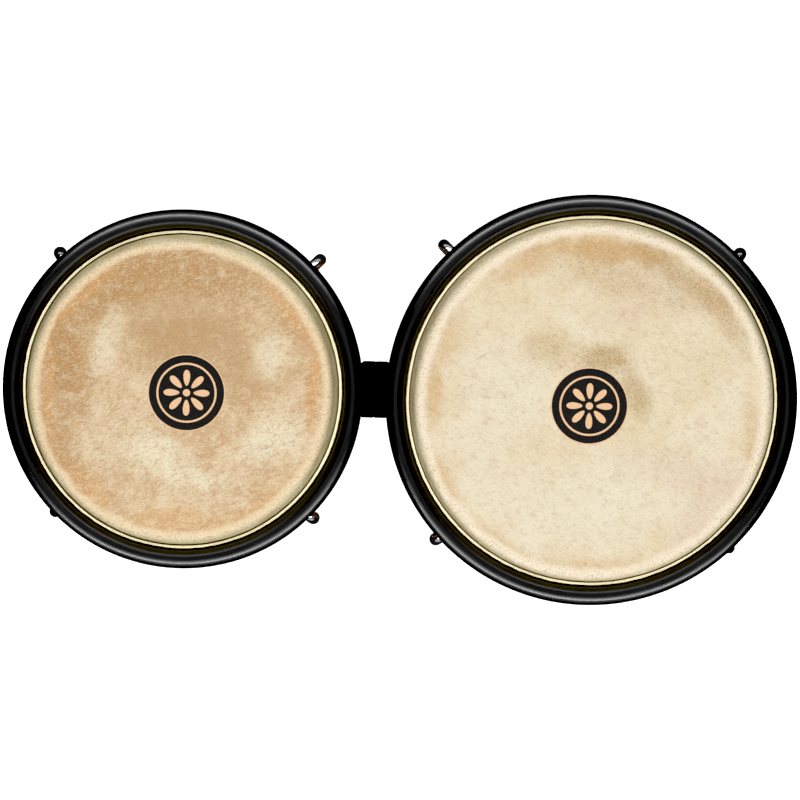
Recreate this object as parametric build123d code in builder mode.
from build123d import *
import os
from dataclasses import dataclass
from math import cos, radians, sin, sqrt

# A pair of bongo drums standing on their base rings, in millimetres.
# +Z is up and +X runs from the small drum (macho) to the large one (hembra).
# The origin is the centre of the footprint, on the ground.

# ---- Driving dimensions ------------------------------------------------------

# Tension rims
RIM_GAP = 13.1  # between the two rims
RIM_WIDTH = 11.6  # across the rounded top
RIM_SHEET = 2.5
RIM_INNER_DEPTH = 14.0  # from the top down to the edge that presses on the flesh hoop
RIM_SKIRT_DEPTH = 20.0  # from the top down to the outer edge
RIM_DROP = 9.0  # from the playing surface down to the top of the rim

# Shells and heads
SHELL_HEIGHT = 165.0
SHELL_WALL = 10.0
BEARING_ROUND = 3.0
BEARING_BEVEL = 4.0
HIDE = 1.3  # thickness of the hide
HIDE_TO_RIM = 1.9  # from the collar's outside to the rim, at the flesh hoop
COLLAR_DEPTH = 17.0  # from the playing surface down to where the collar meets the hoop
FLESH_HOOP_ROD = 6.0

# Base rings
BAND_SHEET = 2.5
BAND_HEIGHT = 32.0
BAND_PLAY = 0.3
LIP_THICKNESS = 2.5
LIP_REACH = 9.0
EAR_TOP = 26.5
EAR_THICKNESS = 4.5
EAR_HALF_WIDTH = 12.0  # where the ear meets the band
EAR_TIP_RADIUS = 7.8
EAR_HOLE_RADIUS = 4.5
RIB_THICKNESS = 5.0
RIB_REACH = 7.0

# Tuning lugs: a J-hook rod with an M8 thread rolled on its lower end
LUG_COUNT = 4
FIRST_LUG_ANGLE = 45.0
LUG_ROD_RADIUS = 3.55
LUG_THREAD_RADIUS = 3.975
LUG_THREAD_LENGTH = 42.0
THREAD_RUNOUT = 0.4
LUG_FOOT = 8.0  # height of the rod's lower end
HOOK_BEND_RADIUS = 7.9  # to the rod's centre line
HOOK_BELOW_RIM = 36.0  # from the top of the rim down to the centre of the bend
HOOK_TIP = 7.0  # straight length past the bend
HOOK_TIP_ROUND = 2.8

# Side plates welded inside the rim's skirt, one for each hook
PLATE_THICKNESS = 3.0
PLATE_WIDTH = 26.0
PLATE_OVERLAP = 8.0  # welded height inside the skirt
PLATE_WELD_BITE = 0.3
WINDOW_WIDTH = 8.4
WINDOW_HEIGHT = 9.0
SILL_HEIGHT = 9.0

# M8 fasteners
NUT_ACROSS_FLATS = 13.0
NUT_HEIGHT = 6.8
NUT_BORE_RADIUS = 4.02
NUT_TURNED_RADIUS = 6.4  # radius of the flat end left when the corners are turned off
CORNER_TURN_SLOPE = 0.6  # drop of that turned cone for each millimetre of radius
WASHER_RADIUS = 7.5
WASHER_HOLE_RADIUS = 4.3
WASHER_THICKNESS = 1.6
BOLT_RADIUS = 3.95
BOLT_HEAD_HEIGHT = 5.3
BOLT_END_PROUD = 3.0
THREAD_END_CHAMFER = 0.8
CLEARANCE_HOLE_RADIUS = 4.3

# Centre block, in two half blocks that meet midway between the rims
BLOCK_TOP = 134.0
BLOCK_HEIGHT = 56.0
FLANGE_WIDTH = 30.0
FLANGE_THICKNESS = 9.0
FLANGE_CORNER = 2.5
SEAM_ROUND = 0.8
STEM_WIDTH = 24.0
STEM_INSET = 3.0  # the stem is lower than the flange by this much at each end
BOLT_SPACING = 28.0

# Saddles inside the shells, behind the half blocks
SADDLE_WIDTH = 34.0
SADDLE_HEIGHT = 60.0
SADDLE_THICKNESS = 7.0  # at its middle
SADDLE_CORNER = 6.0

# ---- The two drums -----------------------------------------------------------


@dataclass
class Drum:
    name: str
    head_radius: float  # outside of the shell at the bearing edge
    foot_radius: float  # outside of the shell at its foot
    rim_radius: float  # outside of the rim
    side: int  # which way the other drum lies along X
    axis_x: float = 0.0


macho = Drum("macho", head_radius=85.7, foot_radius=75.0, rim_radius=104.4, side=1)
hembra = Drum("hembra", head_radius=101.6, foot_radius=89.0, rim_radius=119.5, side=-1)

overall_length = 2 * (macho.rim_radius + hembra.rim_radius) + RIM_GAP
macho.axis_x = -overall_length / 2 + macho.rim_radius
hembra.axis_x = overall_length / 2 - hembra.rim_radius
seam_x = macho.axis_x + macho.rim_radius + RIM_GAP / 2

# ---- Heights and radii that follow from them ---------------------------------

shell_foot = LIP_THICKNESS
shell_top = shell_foot + SHELL_HEIGHT
head_top = shell_top + HIDE
rim_top = head_top - RIM_DROP
rim_equator = rim_top - RIM_WIDTH / 2
hoop_height = rim_top - RIM_INNER_DEPTH - HIDE - FLESH_HOOP_ROD / 2
hook_height = rim_top - HOOK_BELOW_RIM
hook_inner_radius = HOOK_BEND_RADIUS - LUG_ROD_RADIUS
sill_height = hook_height + sqrt(hook_inner_radius**2 - (PLATE_THICKNESS / 2) ** 2)
ear_bottom = EAR_TOP - EAR_THICKNESS
nut_top = ear_bottom - WASHER_THICKNESS
block_middle = BLOCK_TOP - BLOCK_HEIGHT / 2
bolt_heights = (block_middle - BOLT_SPACING / 2, block_middle + BOLT_SPACING / 2)

UP = (0, 0, 1)


def shell_radius(drum, z):
    """Outside radius of the tapered shell at height z."""
    taper = (drum.head_radius - drum.foot_radius) / SHELL_HEIGHT
    return drum.foot_radius + taper * (z - shell_foot)


def plate_radius(drum):
    """Distance from the drum's axis to the middle of a side plate's thickness."""
    return drum.rim_radius - RIM_SHEET + PLATE_WELD_BITE - PLATE_THICKNESS / 2


def lug_radius(drum):
    """Distance from the drum's axis to the centre line of a lug's long leg."""
    return plate_radius(drum) - HOOK_BEND_RADIUS


def lug_angles():
    return [FIRST_LUG_ANGLE + index * 360 / LUG_COUNT for index in range(LUG_COUNT)]


def lug_position_name(angle):
    """Where a lug stands as seen by a player in front of the drums, at -Y."""
    depth = "back" if sin(radians(angle)) > 0 else "front"
    hand = "right" if cos(radians(angle)) > 0 else "left"
    return f"{depth}_{hand}"


def drum_axis(drum):
    return Axis((drum.axis_x, 0, 0), UP)


def section_plane(drum, angle=0.0):
    """Upright plane through the drum's axis: local X is the radius, local Y the height."""
    outward = (cos(radians(angle)), sin(radians(angle)), 0)
    normal = (sin(radians(angle)), -cos(radians(angle)), 0)
    return Plane(origin=(drum.axis_x, 0, 0), x_dir=outward, z_dir=normal)


def level_plane(drum, z, angle=0.0):
    """Level plane on the drum's axis at height z, with local X turned to an angle."""
    outward = (cos(radians(angle)), sin(radians(angle)), 0)
    return Plane(origin=(drum.axis_x, 0, z), x_dir=outward, z_dir=UP)


def facing_plane(drum, angle, distance):
    """Upright plane that faces outward: local X is tangential, local Y the height."""
    outward = (cos(radians(angle)), sin(radians(angle)), 0)
    tangent = (-sin(radians(angle)), cos(radians(angle)), 0)
    origin = (drum.axis_x + distance * outward[0], distance * outward[1], 0)
    return Plane(origin=origin, x_dir=tangent, z_dir=outward)


def lug_plane(drum, z, angle):
    """Level plane centred on the long leg of the lug at this angle."""
    outward = (cos(radians(angle)), sin(radians(angle)), 0)
    radius = lug_radius(drum)
    centre = (drum.axis_x + radius * outward[0], radius * outward[1], z)
    return Plane(origin=centre, x_dir=outward, z_dir=UP)


def neighbour_plane(drum, distance=0.0):
    """Upright plane that faces the other drum, this far from the drum's axis."""
    return facing_plane(drum, 0 if drum.side > 0 else 180, distance)


def save(piece, name):
    piece.label = name
    export_step(piece, f"parts/{name}.step")


# ---- Pieces of one drum ------------------------------------------------------


def make_shell(drum):
    """Tapered wood shell with a rounded bearing edge and two bolt holes."""
    foot = drum.foot_radius
    head = drum.head_radius
    with BuildPart() as shell:
        with BuildSketch(section_plane(drum)) as wall:
            with BuildLine():
                Polyline(
                    (foot - SHELL_WALL, shell_foot),
                    (foot, shell_foot),
                    (head, shell_top),
                    (head - SHELL_WALL, shell_top),
                    close=True,
                )
            make_face()
            top_corners = wall.vertices().group_by(Axis.Y)[-1].sort_by(Axis.X)
            chamfer(top_corners[0], length=BEARING_BEVEL)
            outer_corner = wall.vertices().sort_by(Axis.X)[-1]
            fillet(outer_corner, radius=BEARING_ROUND)
        revolve(axis=drum_axis(drum))
        with BuildSketch(neighbour_plane(drum)):
            with Locations(*[(0, z) for z in bolt_heights]):
                Circle(CLEARANCE_HOLE_RADIUS)
        extrude(amount=drum.head_radius, mode=Mode.SUBTRACT)
    save(shell.part, f"{drum.name}_shell")


def make_head(drum):
    """Hide: flat over the bearing edge, with a collar that flares down to the hoop."""
    collar_foot = drum.rim_radius - RIM_WIDTH - HIDE_TO_RIM
    collar_z = head_top - COLLAR_DEPTH
    crown = drum.head_radius + HIDE
    with BuildPart() as head:
        with BuildSketch(section_plane(drum)) as profile:
            with BuildLine():
                Polyline(
                    (0, shell_top),
                    (0, head_top),
                    (crown, head_top),
                    (collar_foot, collar_z),
                    (collar_foot - HIDE, collar_z),
                    (crown - HIDE, shell_top),
                    close=True,
                )
            make_face()
            top_edge = profile.vertices().group_by(Axis.Y)[-1].sort_by(Axis.X)
            fillet(top_edge[-1], radius=BEARING_ROUND + HIDE)
            bearing_edge = profile.vertices().sort_by_distance((crown - HIDE, shell_top))
            fillet(bearing_edge[0], radius=BEARING_ROUND)
        revolve(axis=drum_axis(drum))
    save(head.part, f"{drum.name}_head")


def make_flesh_hoop(drum):
    """Round steel ring that the hide is wrapped round."""
    hoop_radius = drum.rim_radius - RIM_WIDTH - HIDE_TO_RIM + FLESH_HOOP_ROD / 2
    with BuildPart() as hoop:
        with BuildSketch(section_plane(drum)):
            with Locations((hoop_radius, hoop_height)):
                Circle(FLESH_HOOP_ROD / 2)
        revolve(axis=drum_axis(drum))
    save(hoop.part, f"{drum.name}_flesh_hoop")


def make_rim(drum):
    """Rim of folded sheet with a rounded top, and a windowed side plate for each hook."""
    outer = drum.rim_radius
    inner = outer - RIM_WIDTH
    foot = rim_top - RIM_INNER_DEPTH
    skirt = rim_top - RIM_SKIRT_DEPTH
    inner_bend = (RIM_WIDTH - 2 * RIM_SHEET) / 2
    middle = (inner + outer) / 2
    plate_top = skirt + PLATE_OVERLAP
    plate_bottom = sill_height - SILL_HEIGHT
    plate_middle = (plate_top + plate_bottom) / 2
    window_middle = sill_height + WINDOW_HEIGHT / 2
    with BuildPart() as rim:
        with BuildSketch(section_plane(drum)) as profile:
            with BuildLine():
                Line((inner, foot), (inner, rim_equator))
                ThreePointArc((inner, rim_equator), (middle, rim_top), (outer, rim_equator))
                Polyline(
                    (outer, rim_equator),
                    (outer, skirt),
                    (outer - RIM_SHEET, skirt),
                    (outer - RIM_SHEET, rim_equator),
                )
                ThreePointArc(
                    (outer - RIM_SHEET, rim_equator),
                    (middle, rim_equator + inner_bend),
                    (inner + RIM_SHEET, rim_equator),
                )
                Polyline(
                    (inner + RIM_SHEET, rim_equator), (inner + RIM_SHEET, foot), (inner, foot)
                )
            make_face()
            rolled_edges = profile.vertices().filter_by_position(Axis.Y, 0, foot + 1)
            fillet(rolled_edges, radius=RIM_SHEET / 3)
        revolve(axis=drum_axis(drum))
        for angle in lug_angles():
            with BuildSketch(facing_plane(drum, angle, plate_radius(drum))):
                with Locations((0, plate_middle)):
                    RectangleRounded(PLATE_WIDTH, plate_top - plate_bottom, radius=4)
                with Locations((0, window_middle)):
                    RectangleRounded(WINDOW_WIDTH, WINDOW_HEIGHT, radius=2, mode=Mode.SUBTRACT)
            extrude(amount=PLATE_THICKNESS / 2, both=True)
    save(rim.part, f"{drum.name}_rim")


def make_lug(drum, angle):
    """J-hook: a long leg with a rolled thread, a round bend, and a short leg outside."""
    long_leg = lug_radius(drum)
    short_leg = long_leg + 2 * HOOK_BEND_RADIUS
    plane = section_plane(drum, angle)
    with BuildPart() as lug:
        with BuildLine(plane):
            leg = Line((long_leg, LUG_FOOT), (long_leg, hook_height))
            bend = ThreePointArc(
                leg @ 1,
                (long_leg + HOOK_BEND_RADIUS, hook_height + HOOK_BEND_RADIUS),
                (short_leg, hook_height),
            )
            Line(bend @ 1, (short_leg, hook_height - HOOK_TIP))
        with BuildSketch(lug_plane(drum, LUG_FOOT, angle)):
            Circle(LUG_ROD_RADIUS)
        sweep()
        tip = lug.faces().filter_by(Axis.Z).sort_by(Axis.Z)[-1]
        fillet(tip.edges(), radius=HOOK_TIP_ROUND)
        with BuildSketch(lug_plane(drum, LUG_FOOT, angle)):
            Circle(LUG_THREAD_RADIUS)
        extrude(amount=LUG_THREAD_LENGTH)
        thread_ends = lug.edges().filter_by(GeomType.CIRCLE).filter_by(
            lambda edge: abs(edge.radius - LUG_THREAD_RADIUS) < 0.01
        )
        chamfer(thread_ends.sort_by(Axis.Z)[0], length=THREAD_END_CHAMFER)
        chamfer(thread_ends.sort_by(Axis.Z)[-1], length=THREAD_RUNOUT)
    save(lug.part, f"{drum.name}_lug_{lug_position_name(angle)}")


def band_section(drum):
    """Inner and outer radius of the base ring's band, at its foot and at its top."""
    foot = shell_radius(drum, LIP_THICKNESS) + BAND_PLAY
    top = shell_radius(drum, BAND_HEIGHT) + BAND_PLAY
    return foot, foot + BAND_SHEET, top, top + BAND_SHEET


def make_base_ring(drum):
    """Steel band round the shell's foot, with a lip that turns in under the shell."""
    foot_inner, foot_outer, top_inner, top_outer = band_section(drum)
    with BuildPart() as ring:
        with BuildSketch(section_plane(drum)) as profile:
            with BuildLine():
                Polyline(
                    (drum.foot_radius - LIP_REACH, 0),
                    (foot_outer, 0),
                    (foot_outer, LIP_THICKNESS),
                    (top_outer, BAND_HEIGHT),
                    (top_inner, BAND_HEIGHT),
                    (foot_inner, LIP_THICKNESS),
                    (drum.foot_radius - LIP_REACH, LIP_THICKNESS),
                    close=True,
                )
            make_face()
            bottom_corner = profile.vertices().group_by(Axis.Y)[0].sort_by(Axis.X)[-1]
            fillet(bottom_corner, radius=BAND_SHEET / 2)
            fillet(profile.vertices().group_by(Axis.Y)[-1], radius=BAND_SHEET / 3)
        revolve(axis=drum_axis(drum))
    save(ring.part, f"{drum.name}_base_ring")


def make_base_ears(drum):
    """Four tapered ears welded to the outside of the band, each with a rib over it."""
    _, foot_outer, top_inner, top_outer = band_section(drum)
    lug = lug_radius(drum)
    rib_root = shell_radius(drum, EAR_TOP) + BAND_PLAY + BAND_SHEET
    rib_top = BAND_HEIGHT - BAND_SHEET / 2
    ear_middle = EAR_TOP - EAR_THICKNESS / 2
    with BuildPart() as ears:
        for angle in lug_angles():
            with BuildSketch(level_plane(drum, ear_bottom, angle)):
                with Locations((top_inner, 0)):
                    Rectangle(BAND_SHEET, 2 * EAR_HALF_WIDTH)
                with Locations((lug, 0)):
                    Circle(EAR_TIP_RADIUS)
                make_hull()
            extrude(amount=EAR_THICKNESS)
            with BuildSketch(section_plane(drum, angle)):
                with BuildLine():
                    Polyline(
                        (top_inner, ear_middle),
                        (rib_root + RIB_REACH, ear_middle),
                        (rib_root + RIB_REACH, EAR_TOP),
                        (rib_root, rib_top),
                        (top_inner, rib_top),
                        close=True,
                    )
                make_face()
            extrude(amount=RIB_THICKNESS / 2, both=True)
            with BuildSketch(lug_plane(drum, ear_bottom, angle)):
                Circle(EAR_HOLE_RADIUS)
            extrude(amount=EAR_THICKNESS, mode=Mode.SUBTRACT)
        with BuildSketch(section_plane(drum)):
            with BuildLine():
                Polyline(
                    (0, LIP_THICKNESS),
                    (foot_outer, LIP_THICKNESS),
                    (top_outer, BAND_HEIGHT),
                    (0, BAND_HEIGHT),
                    close=True,
                )
            make_face()
        revolve(axis=drum_axis(drum), mode=Mode.SUBTRACT)
    save(ears.part, f"{drum.name}_base_ears")


def make_half_block(drum):
    """Half of the centre block: a flange at the seam, on a stem that fits the shell."""
    seam_distance = abs(seam_x - drum.axis_x)
    flange_back = seam_distance - FLANGE_THICKNESS
    toward_neighbour = 0 if drum.side > 0 else 180
    with BuildPart() as block:
        stem_bottom = BLOCK_TOP - BLOCK_HEIGHT + STEM_INSET
        with BuildSketch(level_plane(drum, stem_bottom, toward_neighbour)):
            with Locations(((drum.foot_radius + seam_distance) / 2, 0)):
                Rectangle(seam_distance - drum.foot_radius, STEM_WIDTH)
        extrude(amount=BLOCK_HEIGHT - 2 * STEM_INSET)
        with BuildSketch(section_plane(drum)):
            with BuildLine():
                Polyline(
                    (0, shell_foot),
                    (drum.foot_radius, shell_foot),
                    (drum.head_radius, shell_top),
                    (0, shell_top),
                    close=True,
                )
            make_face()
        revolve(axis=drum_axis(drum), mode=Mode.SUBTRACT)
        with BuildSketch(level_plane(drum, BLOCK_TOP - BLOCK_HEIGHT, toward_neighbour)) as flange:
            with Locations((flange_back + FLANGE_THICKNESS / 2, 0)):
                Rectangle(FLANGE_THICKNESS, FLANGE_WIDTH)
            fillet(flange.vertices().group_by(Axis.X)[0], radius=FLANGE_CORNER)
            fillet(flange.vertices().group_by(Axis.X)[-1], radius=SEAM_ROUND)
        extrude(amount=BLOCK_HEIGHT)
        chamfer(block.faces().filter_by(Axis.Z).sort_by(Axis.Z)[-1].edges(), length=SEAM_ROUND)
        chamfer(block.faces().filter_by(Axis.Z).sort_by(Axis.Z)[0].edges(), length=SEAM_ROUND)
        with BuildSketch(neighbour_plane(drum)):
            with Locations(*[(0, z) for z in bolt_heights]):
                Circle(CLEARANCE_HOLE_RADIUS)
        extrude(amount=seam_distance, mode=Mode.SUBTRACT)
    save(block.part, f"{drum.name}_half_block")


def saddle_face_distance(drum):
    """Distance from the drum's axis to the flat face of its saddle."""
    return shell_radius(drum, block_middle) - SHELL_WALL - SADDLE_THICKNESS


def make_saddle(drum):
    """Backing plate, flat inside and curved outside to fit the inside of the shell."""
    with BuildPart() as saddle:
        with BuildSketch(neighbour_plane(drum, saddle_face_distance(drum))):
            with Locations((0, block_middle)):
                RectangleRounded(SADDLE_WIDTH, SADDLE_HEIGHT, radius=SADDLE_CORNER)
                with Locations(*[(0, z - block_middle) for z in bolt_heights]):
                    Circle(CLEARANCE_HOLE_RADIUS, mode=Mode.SUBTRACT)
        extrude(amount=2 * SADDLE_THICKNESS)
        with BuildSketch(section_plane(drum)):
            with BuildLine():
                Polyline(
                    (0, shell_foot),
                    (drum.foot_radius - SHELL_WALL, shell_foot),
                    (drum.head_radius - SHELL_WALL, shell_top),
                    (0, shell_top),
                    close=True,
                )
            make_face()
        revolve(axis=drum_axis(drum), mode=Mode.INTERSECT)
    save(saddle.part, f"{drum.name}_saddle")


# ---- Fasteners ---------------------------------------------------------------


def hexagon_with_turned_corners(height, bore_radius=0.0):
    """Hexagonal prism on the XY plane whose corners are turned off at both ends."""
    corner_radius = NUT_ACROSS_FLATS / 2 / cos(radians(30))
    turned = NUT_TURNED_RADIUS
    drop = (corner_radius - turned) * CORNER_TURN_SLOPE
    with BuildPart() as hexagon:
        with BuildSketch():
            RegularPolygon(NUT_ACROSS_FLATS / 2, side_count=6, major_radius=False)
            if bore_radius:
                Circle(bore_radius, mode=Mode.SUBTRACT)
        extrude(amount=height)
        with BuildSketch(Plane.XZ):
            with BuildLine():
                Polyline(
                    (0, 0),
                    (turned, 0),
                    (corner_radius, drop),
                    (corner_radius, height - drop),
                    (turned, height),
                    (0, height),
                    close=True,
                )
            make_face()
        revolve(axis=Axis.Z, mode=Mode.INTERSECT)
    return hexagon.part


def make_copies(name, blank, places):
    """One node of identical pieces, each standing on its own plane."""
    with BuildPart() as copies:
        with Locations(*places):
            add(blank)
    save(copies.part, name)


def make_coupling_bolt(name, z):
    """Through bolt from the macho's saddle to the hembra's: hex head, plain shank."""
    head_face = macho.axis_x + saddle_face_distance(macho) - WASHER_THICKNESS
    nut_face = hembra.axis_x - saddle_face_distance(hembra) + WASHER_THICKNESS
    shank_length = nut_face + NUT_HEIGHT + BOLT_END_PROUD - head_face
    along = Plane(origin=(head_face, 0, z), x_dir=(0, 1, 0), z_dir=(1, 0, 0))
    with BuildPart() as bolt:
        with BuildSketch(along):
            Circle(BOLT_RADIUS)
        extrude(amount=shank_length)
        chamfer(bolt.edges().filter_by(GeomType.CIRCLE).sort_by(Axis.X)[-1], length=THREAD_END_CHAMFER)
        with Locations(along.offset(-BOLT_HEAD_HEIGHT)):
            add(hexagon_with_turned_corners(BOLT_HEAD_HEIGHT))
    save(bolt.part, name)


def plain_washer():
    """M8 washer on the XY plane."""
    with BuildPart() as washer:
        with BuildSketch():
            Circle(WASHER_RADIUS)
            Circle(WASHER_HOLE_RADIUS, mode=Mode.SUBTRACT)
        extrude(amount=WASHER_THICKNESS)
    return washer.part


# ---- Build -------------------------------------------------------------------

os.makedirs("parts", exist_ok=True)
nut_blank = hexagon_with_turned_corners(NUT_HEIGHT, NUT_BORE_RADIUS)
washer_blank = plain_washer()

for drum in (macho, hembra):
    make_shell(drum)
    make_head(drum)
    make_flesh_hoop(drum)
    make_rim(drum)
    make_base_ring(drum)
    make_base_ears(drum)
    make_half_block(drum)
    make_saddle(drum)
    for angle in lug_angles():
        make_lug(drum, angle)
        nut_name = f"{drum.name}_nut_{lug_position_name(angle)}"
        make_copies(nut_name, nut_blank, [lug_plane(drum, nut_top - NUT_HEIGHT, angle)])
    lug_places = [lug_plane(drum, nut_top, angle) for angle in lug_angles()]
    make_copies(f"{drum.name}_lug_washers", washer_blank, lug_places)

make_coupling_bolt("upper_coupling_bolt", bolt_heights[1])
make_coupling_bolt("lower_coupling_bolt", bolt_heights[0])

macho_face = macho.axis_x + saddle_face_distance(macho)
hembra_face = hembra.axis_x - saddle_face_distance(hembra)
washer_places = []
nut_places = []
for z in bolt_heights:
    for x in (macho_face - WASHER_THICKNESS, hembra_face):
        washer_places.append(Plane(origin=(x, 0, z), x_dir=(0, 1, 0), z_dir=(1, 0, 0)))
    nut_places.append(
        Plane(origin=(hembra_face + WASHER_THICKNESS, 0, z), x_dir=(0, 1, 0), z_dir=(1, 0, 0))
    )
make_copies("coupling_washers", washer_blank, washer_places)
make_copies("coupling_nuts", nut_blank, nut_places)
